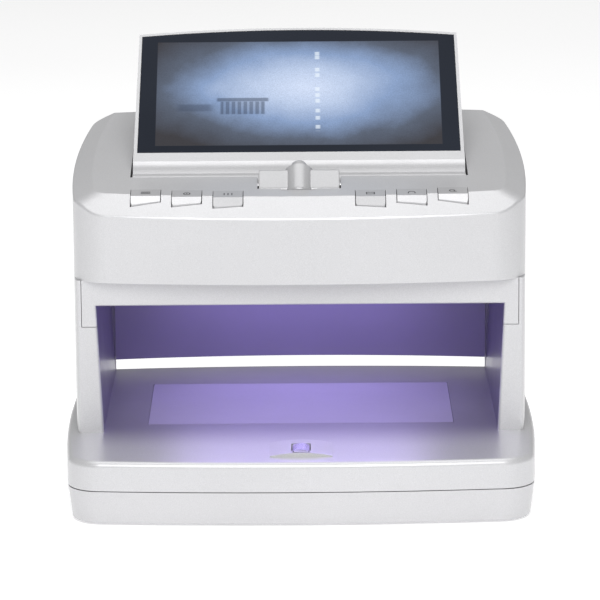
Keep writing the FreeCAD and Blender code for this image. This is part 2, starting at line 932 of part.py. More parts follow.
def round_band(body):
    """Softens the long edges of the band round the hood's front and sides, and the rear edge."""
    rims = []
    for face in body.Tip.Shape.Faces:
        lift = face.normalAt(*face.Surface.parameter(face.CenterOfMass)).z
        if lift > 0.95 or abs(lift) < 0.05:
            rims += face.Edges
    low = number("hood_bottom + 20")
    fillet(
        body,
        lambda edge: edge.BoundBox.ZMin > low and any(edge.isSame(rim) for rim in rims),
        "band_round",
    )


def make_pan():
    """The hood's floor, with the window that the lamps and the camera look through."""
    body = new_body("hood_pan")
    plan = sketch_on(body, "XY_Plane", "hood_bottom")
    hood_outline(plan, "hood_wall + 0.2")
    pad(body, plan, "pan_thickness")
    for front, radius in ((True, "hood_front_radius - hood_wall"), (False, "arch_rear_radius - hood_wall")):
        fillet(body, lambda edge: is_upright(edge) and (edge.Vertexes[0].Y < 0) == front, radius)
    window = sketch_on(body, "XY_Plane", "hood_bottom")
    rectangle(window, "-window_half", "window_half", "window_front", "window_rear")
    pocket(body, window, back=True)
    filter_window = new_body("filter_window")
    pane = sketch_on(filter_window, "XY_Plane", "hood_bottom + pan_thickness")
    rectangle(pane, "-window_half - 3", "window_half + 3", "window_front - 3", "window_rear + 3")
    pad(filter_window, pane, "1.5")


def make_well():
    """The tub that the display lies in when it is folded, with the notch for the hinge block."""
    body = new_body("display_well")
    front = "(well_front_under - well_wall)"
    tub = sketch_on(body, "YZ_Plane")
    loop(
        tub,
        [
            (front, hood_top(front, "well_drop + well_wall")),
            ("well_rear", hood_top("well_rear", "well_drop + well_wall")),
            ("well_rear", hood_top("well_rear", "hood_wall")),
            (front, hood_top(front, "hood_wall")),
        ],
    )
    pad(body, tub, "2 * (well_half + well_wall)", side="Symmetric")
    cheek = sketch_on(body, "YZ_Plane")
    cheek_front = "(notch_front - notch_wall)"
    loop(
        cheek,
        [
            (cheek_front, "notch_floor - well_wall"),
            (f"{front} + 1", "notch_floor - well_wall"),
            (f"{front} + 1", hood_top(f"({front} + 1)", "hood_wall")),
            (cheek_front, hood_top(cheek_front, "hood_wall")),
        ],
    )
    pad(body, cheek, "2 * (notch_half + well_wall)", side="Symmetric")
    hollow = sketch_on(body, "YZ_Plane")
    loop(
        hollow,
        [
            ("well_front_under", hood_top("well_front_under", "well_drop")),
            ("well_rear + 5", hood_top("well_rear + 5", "well_drop")),
            ("well_rear + 5", "hood_bottom + 90"),
            ("well_front_under", "hood_bottom + 90"),
        ],
    )
    pocket(body, hollow, "2 * well_half", side="Symmetric")
    notch = sketch_on(body, "YZ_Plane")
    loop(
        notch,
        [
            ("notch_front", "notch_floor"),
            ("well_front", "notch_floor"),
            ("well_front", "hood_bottom + 90"),
            ("notch_front", "hood_bottom + 90"),
        ],
    )
    pocket(body, notch, "2 * notch_half", side="Symmetric")
    scallop = sketch_on(body, "YZ_Plane")
    circle(scallop, "tilt_y", "tilt_z", "notch_scallop")
    pocket(body, scallop, "2 * (post_radius + 1.4)", side="Symmetric")
    shaft_way = sketch_on(body, "YZ_Plane")
    circle(shaft_way, "tilt_y", "tilt_z", "shaft_radius + 0.4")
    pocket(body, shaft_way, side="Symmetric")
    limit = helper_body("well_limit")
    plan = sketch_on(limit, "XY_Plane", "hood_bottom")
    hood_outline(plan, "hood_wall + 0.1")
    pad(limit, plan, "100")
    combine(body, limit, "Common")


# ---- keys ----------------------------------------------------------------------------------


def make_keys():
    for name, side, x, crease, inner, outer, fold in key_rows():
        body = new_body(f"key_{name}")
        face = sketch_on(body, "YZ_Plane")
        loop(
            face,
            [
                ("-key_reach", f"key_proud - key_reach * tan({fold}) - key_skin"),
                ("-0.5", "key_proud - key_skin - 0.8"),
                ("key_rear", "key_proud - key_skin"),
                ("key_rear", "key_proud"),
                ("0", "key_proud"),
                ("-key_reach", f"key_proud - key_reach * tan({fold})"),
            ],
        )
        pad(body, face, "2 * key_half", side="Symmetric")
        trim = sketch_on(body, "XY_Plane", "5")
        left, right = (outer, inner) if side < 0 else (inner, outer)
        loop(
            trim,
            [
                ("-key_half - 1", "-key_reach - 1"),
                ("key_half + 1", "-key_reach - 1"),
                ("key_half + 1", f"-{right} - ({right} - {left}) / (2 * key_half)"),
                ("-key_half - 1", f"-{left} - ({left} - {right}) / (2 * key_half)"),
            ],
        )
        pocket(body, trim)
        stem = sketch_on(body, "XY_Plane", "key_proud - key_skin")
        rectangle(stem, "-2", "2", "2", "7")
        pad(body, stem, "key_stem", back=True)
        fillet(
            body,
            lambda edge: edge.BoundBox.XLength < 0.5
            and edge.BoundBox.ZLength < 3.2
            and edge.CenterOfMass.y < -2
            and edge.BoundBox.YLength < 0.8,
            "1",
        )
        body.Placement = FreeCAD.Placement(
            vec(x, crease, number(hood_top(crease))),
            FreeCAD.Rotation(vec(1, 0, 0), number("hood_slope")),
        )
        bind(body, "Placement.Base.z", hood_top(crease))


def make_key_board():
    """The board under the keys, square to their travel, with one dome switch for each key."""
    turn = FreeCAD.Rotation(vec(1, 0, 0), number("hood_slope"))
    drop = "key_skin + key_stem + key_travel + 3"
    for name, first, last in (("left", -93, -30), ("right", 30, 93)):
        board = doc.addObject("Part::Box", f"key_board_{name}")
        board.Label = f"key_board_{name}"
        bind(board, "Length", last - first)
        bind(board, "Width", "13")
        bind(board, "Height", "board_thickness")
        board.Placement = FreeCAD.Placement(
            vec(first, number("hood_top_y - 1.5"), number(hood_top("(hood_top_y - 1.5)", drop))), turn
        )
        bind(board, "Placement.Base.z", hood_top("(hood_top_y - 1.5)", drop))
        pieces.append(board)
    switches = []
    for name, side, x, crease, inner, outer, fold in key_rows():
        height = number("3 - board_thickness - 0.5")
        base = Part.makeBox(6, 5, height, vec(-3, 2, number("board_thickness")))
        plunger = Part.makeCylinder(1.6, 0.4, vec(0, 4.5, number("board_thickness") + height))
        switch = base.fuse(plunger)
        switch.Placement = FreeCAD.Placement(vec(x, crease, number(hood_top(crease, drop))), turn)
        switches.append(switch)
    shape_piece("key_switches", Part.makeCompound(switches))


# ---- hinge and display -----------------------------------------------------------------------


def place_on_tilt_axis(body):
    """Local y runs up the display, local z out of its face."""
    body.Placement = FreeCAD.Placement(
        vec(0, number("tilt_y"), number("tilt_z")),
        FreeCAD.Rotation(vec(1, 0, 0), number("lean")),
    )
    bind(body, "Placement.Base.y", "tilt_y")
    bind(body, "Placement.Base.z", "tilt_z")


def make_hinge():
    hinge = new_body("hinge_block")
    section = sketch_on(hinge, "YZ_Plane")
    rectangle(section, "-block_half_depth", "block_top", "block_back", "block_front")
    pad(hinge, section, "2 * block_half", side="Symmetric")
    fillet(hinge, lambda edge: edge.BoundBox.XLength > 20, "2.2")
    fillet(hinge, lambda edge: edge.BoundBox.XLength < 0.1, "0.6")
    bores = sketch_on(hinge, "YZ_Plane")
    circle(bores, "0", "0", "shaft_radius")
    pocket(hinge, bores, side="Symmetric")
    seat = sketch_on(hinge, "XZ_Plane", "-block_top - 5")
    circle(seat, "0", "0", "post_radius + 0.02")
    pocket(hinge, seat, back=True)
    place_on_tilt_axis(hinge)

    post = new_body("hinge_post")
    column = sketch_on(post, "XZ_Plane", "-post_low")
    circle(column, "0", "0", "post_radius")
    pad(post, column, "post_high - post_low", back=True)
    fillet(post, lambda edge: edge.CenterOfMass.y < number("post_low + 0.1"), "2.4")
    nose = sketch_on(post, "XZ_Plane", "-post_high")
    circle(nose, "0", "0", "post_radius - 2.6")
    pad(post, nose, "nose_length", back=True, taper="-nose_taper")
    fillet(post, lambda edge: edge.CenterOfMass.y > number("post_high + nose_length - 0.1"), "2.2")
    crossing = sketch_on(post, "YZ_Plane")
    circle(crossing, "0", "0", "shaft_radius")
    pocket(post, crossing, side="Symmetric")
    place_on_tilt_axis(post)

    shafts = []
    for name, side in (("left", -1), ("right", 1)):
        start = f"{side} * block_half - {side} * 10"
        direction = (side, 0, 0)
        reach = "shaft_end - block_half + 10"
        shafts.append(rod("shaft_radius", reach, start, "tilt_y", "tilt_z", direction))
        bracket = new_body(f"hinge_bracket_{name}")
        plate = sketch_on(bracket, "YZ_Plane", f"{side} * (bracket_x + bracket_thickness / 2)")
        rectangle(
            plate,
            "tilt_y - bracket_front",
            "tilt_y + bracket_rear",
            "bracket_low",
            "bracket_high",
        )
        pad(bracket, plate, "bracket_thickness", side="Symmetric")
        foot = sketch_on(bracket, "XY_Plane", "bracket_low")
        rectangle(
            foot,
            f"{side} * bracket_x",
            f"{side} * (bracket_x + 12)",
            "tilt_y - bracket_front",
            "tilt_y + bracket_rear",
        )
        pad(bracket, foot, "2")
        bore = sketch_on(bracket, "YZ_Plane")
        circle(bore, "tilt_y", "tilt_z", "shaft_radius + shaft_play")
        pocket(bracket, bore, side="Symmetric")
    shape_piece("hinge_shafts", Part.makeCompound(shafts))


def display_outline(sketch, low, inset="0"):
    """The display's plan: straight sides that draw in towards an arched top edge."""
    half_low = f"(display_half_low - ({inset}))"
    half_high = f"(display_half_high - ({inset}))"
    loop(
        sketch,
        [
            (f"-{half_low}", low),
            (half_low, low),
            (half_high, f"(display_top - ({inset}))", "display_arch"),
            (f"-{half_high}", f"(display_top - ({inset}))"),
        ],
    )


def make_display():
    bezel = new_body("display_bezel")
    frame = sketch_on(bezel, "XY_Plane", "split_face")
    display_outline(frame, "chin_end")
    pad(bezel, frame, "glass_face - split_face")
    bezel_cut = sketch_on(bezel, "XY_Plane", "glass_face")
    rectangle(bezel_cut, "-100", "100", "chin_end - 1", "glass_low - 1")
    pocket(bezel, bezel_cut)
    chin = sketch_on(bezel, "YZ_Plane")
    cos_start = "chin_centre_u + chin_radius * cos(40)"
    sin_start = "chin_centre_n + chin_radius * sin(40)"
    loop(
        chin,
        [
            ("glass_low - 1", "glass_face"),
            ("chin_flat", "glass_face", "-0.45"),
            (cos_start, sin_start, "chin_radius * (1 - cos(70))"),
            ("chin_centre_u - chin_radius", "chin_centre_n", "chin_radius * (1 - cos(45))"),
            ("chin_centre_u", "chin_centre_n - chin_radius"),
            ("chin_end", "chin_centre_n - chin_radius"),
            ("chin_end", "split_face"),
            ("glass_low - 1", "split_face"),
        ],
    )
    pad(bezel, chin, "2 * display_half_low", side="Symmetric")
    channel = sketch_on(bezel, "YZ_Plane")
    circle(channel, "chin_centre_u", "chin_centre_n", "chin_radius - 2.3")
    pocket(bezel, channel, "2 * (display_half_low - 3)", side="Symmetric")
    glass_seat = sketch_on(bezel, "XY_Plane", "glass_face")
    glass_outline(glass_seat, "-0.15")
    pocket(bezel, glass_seat, "glass_thickness + 0.25")
    opening = sketch_on(bezel, "XY_Plane", "glass_face")
    rectangle(opening, "-panel_half", "panel_half", "panel_low", "panel_high")
    pocket(bezel, opening)
    pilots = sketch_on(bezel, "XY_Plane", "split_face")
    for x, u in display_screw_places():
        circle(pilots, x, u, "screw_shank_radius - 0.2")
    pocket(bezel, pilots, "3", back=True)
    for reach, radius in (("post_high", "post_radius"), ("post_high + nose_length", "post_radius - 2.6")):
        seat = sketch_on(bezel, "XZ_Plane", f"-({reach}) - 0.02")
        circle(seat, "0", "0", f"{radius} + 0.02")
        pocket(bezel, seat, "14", back=True)
    place_on_tilt_axis(bezel)

    glass = new_body("display_glass")
    pane = sketch_on(glass, "XY_Plane", "glass_face - 0.2 - glass_thickness")
    glass_outline(pane, "0")
    pad(glass, pane, "glass_thickness")
    place_on_tilt_axis(glass)

    back = new_body("display_back_cover")
    plan = sketch_on(back, "XY_Plane", "split_face - 0.3")
    display_outline(plan, "chin_end + 0.3")
    pad(back, plan, "split_face - 0.3 - display_back", back=True)
    fillet(
        back,
        lambda edge: edge.CenterOfMass.z < number("display_back + 0.1")
        and edge.CenterOfMass.y > number("chin_end + 5"),
        "3",
    )
    inside = sketch_on(back, "XY_Plane", "split_face - 0.3")
    rectangle(
        inside, "-display_half_high + 2.8", "display_half_high - 2.8", "chin_end + 2.5", "display_top - 3.4"
    )
    pocket(back, inside, "split_face - 0.3 - display_back - 2")
    holes = sketch_on(back, "XY_Plane", "display_back")
    for x, u in display_screw_places():
        circle(holes, x, u, "screw_shank_radius + 0.1")
    pocket(back, holes, "5", back=True)
    seats = sketch_on(back, "XY_Plane", "display_back")
    for x, u in display_screw_places():
        circle(seats, x, u, "screw_head_radius + 0.25")
    pocket(back, seats, "1.3", back=True)
    slits = sketch_on(back, "XY_Plane", "display_back")
    for slit in range(7):
        u = 62 + slit * 5
        rectangle(slits, "-14", "14", f"{u} - 0.9", f"{u} + 0.9")
    pocket(back, slits, back=True)
    place_on_tilt_axis(back)

    for label, size, place in (
        ("lcd_panel", ("2 * panel_half - 0.4", "panel_high - panel_low - 0.4", "4"), ("77.5", "-10.4")),
        ("display_board", ("130", "62", "board_thickness"), ("78", "-14.6")),
    ):
        body = new_body(label)
        plan = sketch_on(body, "XY_Plane", place[1])
        half_x, half_u = f"({size[0]}) / 2", f"({size[1]}) / 2"
        rectangle(plan, f"-{half_x}", half_x, f"{place[0]} - {half_u}", f"{place[0]} + {half_u}")
        pad(body, plan, size[2])
        place_on_tilt_axis(body)

    screws = make_screws(
        "display_screws",
        [(x, u, number("display_back + 1.3")) for x, u in display_screw_places()],
        (0, 0, 1),
        9,
    )
    place_on_tilt_axis(screws)


def display_screw_places():
    return [(x, u) for x in (-84.2, 84.2) for u in (40, 112)]


def glass_outline(sketch, inset):
    low = f"(glass_low + ({inset}))"
    top = f"(glass_top - ({inset}))"
    half_low = f"(glass_half_low - ({inset}))"
    half_high = f"(glass_half_high - ({inset}))"
    loop(
        sketch,
        [
            (f"-{half_low}", low),
            (half_low, low),
            (half_high, top, "display_arch"),
            (f"-{half_high}", top),
        ],
    )


# ---- lamps, sensors and boards ---------------------------------------------------------------


def make_lamps():
    caps = []
    holders = []
    reflectors = []
    for name, y in (("front", "tube_front_y"), ("rear", "tube_rear_y")):
        tube = rod("tube_radius", "2 * tube_half", "-tube_half", y, "tube_z", (1, 0, 0))
        bore = rod("tube_radius - 0.8", "2 * tube_half", "-tube_half", y, "tube_z", (1, 0, 0))
        shape_piece(f"uv_tube_{name}", tube.cut(bore))
        for side in (-1, 1):
            x = number("tube_half") * side
            caps.append(rod("tube_radius + 0.4", 8, x, y, "tube_z", (side, 0, 0)))
            ends = sorted((x + side * 8, x + side * 14))
            holders.append(block(*ends, f"{y} - 9", f"{y} + 9", "tube_z - 9", "hood_bottom"))
        reach = "tube_half + 5"
        reflectors.append(
            block(f"-({reach})", reach, f"{y} - 10", f"{y} + 10", "hood_bottom - 0.9", "hood_bottom - 0.1")
        )
    shape_piece("tube_end_caps", Part.makeCompound(caps))
    shape_piece("lamp_holders", Part.makeCompound(holders))
    shape_piece("lamp_reflectors", Part.makeCompound(reflectors))
    for name, side in (("left", -1), ("right", 1)):
        box_piece(f"led_bar_{name}", "8", "60", "3", f"{side} * 98", "30", "hood_bottom - 3.1")


def make_camera():
    box_piece("camera_board", "32", "32", "board_thickness", "0", "30", "hood_bottom + 14")
    barrel = rod("7", "10", "0", "30", "hood_bottom + 4", (0, 0, 1))
    throat = rod("4.5", "3", "0", "30", "hood_bottom + 4", (0, 0, 1))
    shape_piece("camera_lens", barrel.cut(throat))


def make_base_electronics():
    box_piece("light_guide", "150", "78", "3", "0", "20", "deck_top - plate_thickness - 6")
    box_piece("backlight_board", "156", "84", "board_thickness", "0", "20", "deck_top - plate_thickness - 8")
    box_piece("main_board", "130", "84", "board_thickness", "0", "24", "tray_bottom + wall + 5")
    floor = number("tray_bottom + wall")
    posts = [
        Part.makeCylinder(2.6, 5, vec(x, y, floor)) for x in (-58, 58) for y in (-10, 58)
    ]
    shape_piece("board_standoffs", Part.makeCompound(posts))
    top = floor + 5 + number("board_thickness")
    chips = [Part.makeBox(14, 14, 1.6, vec(-7, 15, top)), Part.makeBox(10, 6, 1.6, vec(22, 20, top))]
    chips += [Part.makeCylinder(4, 7, vec(x, 50, top)) for x in (-40, -28, -16)]
    chips += [Part.makeBox(16, 6, 6, vec(x, -14, top)) for x in (-50, -20, 10)]
    shape_piece("board_components", Part.makeCompound(chips))
    shape_piece("buzzer", rod("6", "6", "50", "45", f"{top}").cut(rod("1", "2", "50", "45", f"{top + 4}")))
    box_piece("lamp_inverter", "60", "22", "9", "0", "-52", "tray_bottom + wall + 0.5")


def make_rear_ports():
    inlet_x, port_z = number("inlet_x"), number("rear_port_z")
    rear = number("base_corner_y + base_end_bulge") - 3.2
    shell = Part.makeBox(9, 13, 11, vec(inlet_x - 4.5, rear - 13, port_z - 5.5))
    socket = Part.makeCylinder(2.8, 10, vec(inlet_x, rear, port_z), vec(0, -1, 0))
    needle = Part.makeCylinder(1, 9, vec(inlet_x, rear - 0.8, port_z), vec(0, -1, 0))
    shape_piece("power_inlet", shell.cut(socket))
    pin_foot = Part.makeCylinder(2.8, 0.6, vec(inlet_x, rear - 9.4, port_z), vec(0, -1, 0))
    shape_piece("inlet_pin", needle.fuse(pin_foot))
    switch_x = number("switch_x")
    body = Part.makeBox(19, 14, 13, vec(switch_x - 9.5, rear - 14, port_z - 6.5))
    mouth = Part.makeBox(15, 8, 9.4, vec(switch_x - 7.5, rear - 8, port_z - 4.7))
    axle_hole = Part.makeCylinder(1.05, 11.4, vec(switch_x, rear - 3, port_z - 5.7))
    shape_piece("power_switch", body.cut(mouth).cut(axle_hole))
    rocker = new_body("power_rocker")
    plan = sketch_on(rocker, "XY_Plane", "rear_port_z")
    pivot = f"({rear} - 3)"
    loop(
        plan,
        [
            ("switch_x - 5.9", f"{pivot} - 1.4"),
            ("switch_x + 5.9", f"{pivot} - 1.4"),
            ("switch_x + 6.1", f"{pivot} + 3.9", "-0.15"),
            ("switch_x", f"{pivot} + 2.3"),
            ("switch_x - 6.1", f"{pivot} + 2.3"),
        ],
    )
    pad(rocker, plan, "8.8", side="Symmetric")
    axle = sketch_on(rocker, "XY_Plane", "rear_port_z")
    circle(axle, "switch_x", pivot, "1")
    pad(rocker, axle, "11", side="Symmetric")


make_base_tray()
make_base_cover()
make_feet()
base_screws = [(x, y, number("tray_bottom + 1.4")) for x, y in screw_places()]
make_screws("base_screws", base_screws, (0, 0, 1), 9)
make_inspection_plate()
make_sensor()
make_base_electronics()
make_rear_ports()
make_column("column_left", -1)
make_column("column_right", 1)
make_lintel()
make_back_walls()
make_hood()
make_pan()
make_well()
make_keys()
make_key_board()
make_lamps()
make_camera()
make_hinge()
make_display()

doc.recompute()
os.makedirs("parts", exist_ok=True)
for thing in doc.Objects:
    if any(word in thing.State for word in ("Invalid", "Error")):
        raise RuntimeError(f"{thing.Label} failed: {thing.State}")
for piece in pieces:
    if piece.Shape.isNull() or not piece.Shape.isValid() or not piece.Shape.Solids:
        raise RuntimeError(f"{piece.Label} has no valid solid")
    print(piece.Label, len(piece.Shape.Solids), round(piece.Shape.Volume))
    piece.Shape.exportStep(f"parts/{piece.Label}.step")
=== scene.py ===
import bpy
import json
import math
from mathutils import Matrix, Vector


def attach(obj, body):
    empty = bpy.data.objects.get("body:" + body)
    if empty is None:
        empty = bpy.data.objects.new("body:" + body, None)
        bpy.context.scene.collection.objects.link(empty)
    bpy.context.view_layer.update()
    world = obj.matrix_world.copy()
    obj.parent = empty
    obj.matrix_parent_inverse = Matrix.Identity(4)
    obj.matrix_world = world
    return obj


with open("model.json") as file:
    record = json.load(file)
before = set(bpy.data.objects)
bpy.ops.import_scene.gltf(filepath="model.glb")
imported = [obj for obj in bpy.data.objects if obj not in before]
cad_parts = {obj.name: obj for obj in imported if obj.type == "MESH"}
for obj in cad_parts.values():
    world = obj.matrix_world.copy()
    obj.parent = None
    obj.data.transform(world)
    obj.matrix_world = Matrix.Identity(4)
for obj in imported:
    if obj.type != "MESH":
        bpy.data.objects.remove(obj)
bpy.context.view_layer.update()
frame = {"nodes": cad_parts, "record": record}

# ---- sizes in metres, in the row frame -----------------------------------------------------
TILT_AXIS = Vector((0.0, -0.0225, 0.170))
LEAN = math.radians(35.0)
# low, high and softness of the painted violet light and shade on the shell inside the arch, and on
# the deck under it
PAINTED_BAY_SHADE_ZONE = ((-0.1128, 0.1128, 0.0001), (-0.0425, 0.1005, 0.0008), (0.0365, 0.12, 0.0004))
PAINTED_DECK_SHADE_ZONE = ((-0.1088, 0.1088, 0.0001), (-0.055, 0.12, 0.025), (0.030, 0.0364, 0.0001))
HOOD_SLOPE = math.radians(7.75)
LIT_HALF = 0.0802
LIT_LOW = 0.0363
LIT_HIGH = 0.1196
HOOD_TOP_Y = -0.048
HOOD_TOP_Z = 0.1689
KEY_PROUD = 0.00025
KEYS = (
    ("key_left_inner", -0.0388, -0.0496),
    ("key_left_middle", -0.0613, -0.0484),
    ("key_left_outer", -0.0838, -0.0464),
    ("key_right_inner", 0.0388, -0.0496),
    ("key_right_middle", 0.0613, -0.0484),
    ("key_right_outer", 0.0838, -0.0464),
)


# ---- node helpers --------------------------------------------------------------------------
class Nodes:
    """Builds one material's node tree with short calls."""

    def __init__(self, name):
        self.material = bpy.data.materials.new(name)
        self.material.use_nodes = True
        self.tree = self.material.node_tree
        self.tree.nodes.clear()
        self.output = self.add("ShaderNodeOutputMaterial")

    def add(self, kind, **values):
        node = self.tree.nodes.new(kind)
        for key, value in values.items():
            setattr(node, key, value)
        return node

    def join(self, source, target):
        self.tree.links.new(source, target)
        return target

    def feed(self, socket, value):
        if isinstance(value, bpy.types.NodeSocket):
            self.tree.links.new(value, socket)
        else:
            socket.default_value = value

    def math(self, operation, first, second=0.0, third=0.0, clamp=False):
        node = self.add("ShaderNodeMath", operation=operation, use_clamp=clamp)
        for socket, value in zip(node.inputs, (first, second, third)):
            self.feed(socket, value)
        return node.outputs[0]

    def position(self):
        return self.add("ShaderNodeTexCoord").outputs["Object"]

    def axes(self, vector):
        node = self.add("ShaderNodeSeparateXYZ")
        self.join(vector, node.inputs[0])
        return node.outputs

    def noise(self, scale, detail=3.0, roughness=0.5, vector=None):
        node = self.add("ShaderNodeTexNoise")
        self.join(vector or self.position(), node.inputs["Vector"])
        node.inputs["Scale"].default_value = scale
        node.inputs["Detail"].default_value = detail
        node.inputs["Roughness"].default_value = roughness
        return node.outputs["Fac"]

    def ramp(self, value, stops):
        node = self.add("ShaderNodeValToRGB")
        self.feed(node.inputs[0], value)
        while len(node.color_ramp.elements) < len(stops):
            node.color_ramp.elements.new(0.5)
        for element, (place, colour) in zip(node.color_ramp.elements, stops):
            element.position = place
            element.color = (*colour, 1.0)
        return node.outputs[0]

    def mix(self, factor, first, second, blend="MIX"):
        node = self.add("ShaderNodeMix", data_type="RGBA", blend_type=blend)
        self.feed(node.inputs[0], factor)
        self.feed(node.inputs[6], first if not isinstance(first, tuple) else (*first, 1.0))
        self.feed(node.inputs[7], second if not isinstance(second, tuple) else (*second, 1.0))
        return node.outputs[2]

    def between(self, value, low, high, soft):
        """1 where low < value < high, with soft edges."""
        rise = self.add("ShaderNodeMapRange", interpolation_type="SMOOTHSTEP")
        self.feed(rise.inputs[0], value)
        rise.inputs[1].default_value = low - soft
        rise.inputs[2].default_value = low + soft
        fall = self.add("ShaderNodeMapRange", interpolation_type="SMOOTHSTEP")
        self.feed(fall.inputs[0], value)
        fall.inputs[1].default_value = high - soft
        fall.inputs[2].default_value = high + soft
        return self.math("SUBTRACT", rise.outputs[0], fall.outputs[0], clamp=True)

    def bump(self, height, strength, distance):
        node = self.add("ShaderNodeBump")
        self.join(height, node.inputs["Height"])
        node.inputs["Strength"].default_value = strength
        node.inputs["Distance"].default_value = distance
        return node.outputs[0]

    def surface(self, **values):
        shader = self.add("ShaderNodeBsdfPrincipled")
        for key, value in values.items():
            socket = shader.inputs[key.replace("_", " ")]
            if isinstance(value, tuple) and len(value) == 3 and socket.type == "RGBA":
                value = (*value, 1.0)
            self.feed(socket, value)
        self.join(shader.outputs[0], self.output.inputs[0])
        return shader


def shade(colour, factor):
    return tuple(min(1.0, channel * factor) for channel in colour)


def inside_zone(nodes, values, zone):
    """1 where every value lies inside its own (low, high, softness)."""
    masks = [nodes.between(value, *limits) for value, limits in zip(values, zone)]
    product = masks[0]
    for mask in masks[1:]:
        product = nodes.math("MULTIPLY", product, mask)
    return product


def worn_edges(nodes, width=0.0012):
    """Brightest along the sharp edges of the piece, where paint rubs thin."""
    bevel = nodes.add("ShaderNodeBevel", samples=4)
    bevel.inputs["Radius"].default_value = width
    plain = nodes.add("ShaderNodeNewGeometry").outputs["Normal"]
    dot = nodes.add("ShaderNodeVectorMath", operation="DOT_PRODUCT")
    nodes.join(bevel.outputs[0], dot.inputs[0])
    nodes.join(plain, dot.inputs[1])
    away = nodes.math("SUBTRACT", 1.0, dot.outputs["Value"], clamp=True)
    return nodes.math("MULTIPLY", away, 3.0, clamp=True)


def pearl(name, colour, roughness=0.36, metallic=0.35, paint_bay_light=False):
    """Silver pearl paint: fine flakes, orange peel, faint smudges, rubbed edges. The bay flag
    paints violet lamp light and shade, as colour, onto the faces inside the bay and onto the deck
    under it."""
    nodes = Nodes(name)
    flake = 0.06
    flakes = nodes.noise(2600.0, 1.0, 0.6)
    cloud = nodes.noise(9.0, 4.0, 0.55)
    smudge = nodes.noise(38.0, 5.0, 0.62)
    tone = nodes.ramp(cloud, [(0.3, shade(colour, 0.965)), (0.7, shade(colour, 1.025))])
    sparkle = nodes.ramp(flakes, [(0.35, (1.0 - flake,) * 3), (0.68, (1.0 + flake,) * 3)])
    tone = nodes.mix(1.0, tone, sparkle, "MULTIPLY")
    rubbed = nodes.math("MULTIPLY", worn_edges(nodes), 0.35)
    tone = nodes.mix(rubbed, tone, shade(colour, 1.12))
    rough = nodes.math("MULTIPLY_ADD", smudge, 0.14, roughness - 0.07)
    peel = nodes.noise(900.0, 2.0, 0.5)
    relief = nodes.bump(peel, 0.02, 0.0004)
    # painted shade and painted violet light: dark violet on the shell inside the bay, paler violet
    # on the deck under it
    if paint_bay_light:
        place = nodes.axes(nodes.position())
        tone = nodes.mix(inside_zone(nodes, place, PAINTED_BAY_SHADE_ZONE), tone, PAINTED_BAY_SIDE_SHADE)
        painted_deck_shade = nodes.math("MULTIPLY", inside_zone(nodes, place, PAINTED_DECK_SHADE_ZONE), 0.8)
        tone = nodes.mix(painted_deck_shade, tone, PAINTED_BAY_DECK_SHADE)
    nodes.surface(
        Base_Color=tone,
        Metallic=metallic,
        Roughness=rough,
        Coat_Weight=0.25,
        Coat_Roughness=0.22,
        Normal=relief,
    )
    return nodes.material


def moulded(name, colour, roughness=0.55, grain=0.25, spread=0.08, **more):
    """Spark-eroded moulded plastic or rubber."""
    nodes = Nodes(name)
    cloud = nodes.noise(30.0, 4.0, 0.6)
    tone = nodes.ramp(cloud, [(0.3, shade(colour, 1 - spread)), (0.7, shade(colour, 1 + spread))])
    rubbed = nodes.math("MULTIPLY", worn_edges(nodes, 0.0006), 0.4)
    tone = nodes.mix(rubbed, tone, tuple(min(1.0, c * 1.5 + 0.02) for c in colour))
    rough = nodes.math("MULTIPLY_ADD", nodes.noise(60.0, 3.0), 0.16, roughness - 0.08)
    pits = nodes.noise(1900.0, 2.0, 0.6)
    nodes.surface(Base_Color=tone, Roughness=rough, Normal=nodes.bump(pits, grain, 0.0002), **more)
    return nodes.material


def metal(name, colour, roughness=0.28, stretch=(1.0, 18.0, 18.0), grain=0.12):
    """Drawn or ground metal with fine lines along one direction."""
    nodes = Nodes(name)
    mapping = nodes.add("ShaderNodeMapping")
    nodes.join(nodes.position(), mapping.inputs["Vector"])
    mapping.inputs["Scale"].default_value = stretch
    lines = nodes.noise(420.0, 3.0, 0.6, mapping.outputs[0])
    tone = nodes.ramp(lines, [(0.3, tuple(c * 0.86 for c in colour)), (0.7, colour)])
    rough = nodes.math("MULTIPLY_ADD", lines, 0.2, roughness - 0.1)
    relief = nodes.bump(lines, grain, 0.0001)
    nodes.surface(Base_Color=tone, Metallic=1.0, Roughness=rough, Normal=relief)
    return nodes.material


def on_screen_plane(nodes):
    """Coordinates across (x) and up (u) the display, in metres from the tilt axis."""
    mapping = nodes.add("ShaderNodeMapping")
    nodes.join(nodes.position(), mapping.inputs["Vector"])
    turn = Matrix.Rotation(-LEAN, 3, "X")
    mapping.inputs["Rotation"].default_value = (-LEAN, 0.0, 0.0)
    mapping.inputs["Location"].default_value = -(turn @ TILT_AXIS)
    return nodes.axes(mapping.outputs[0])


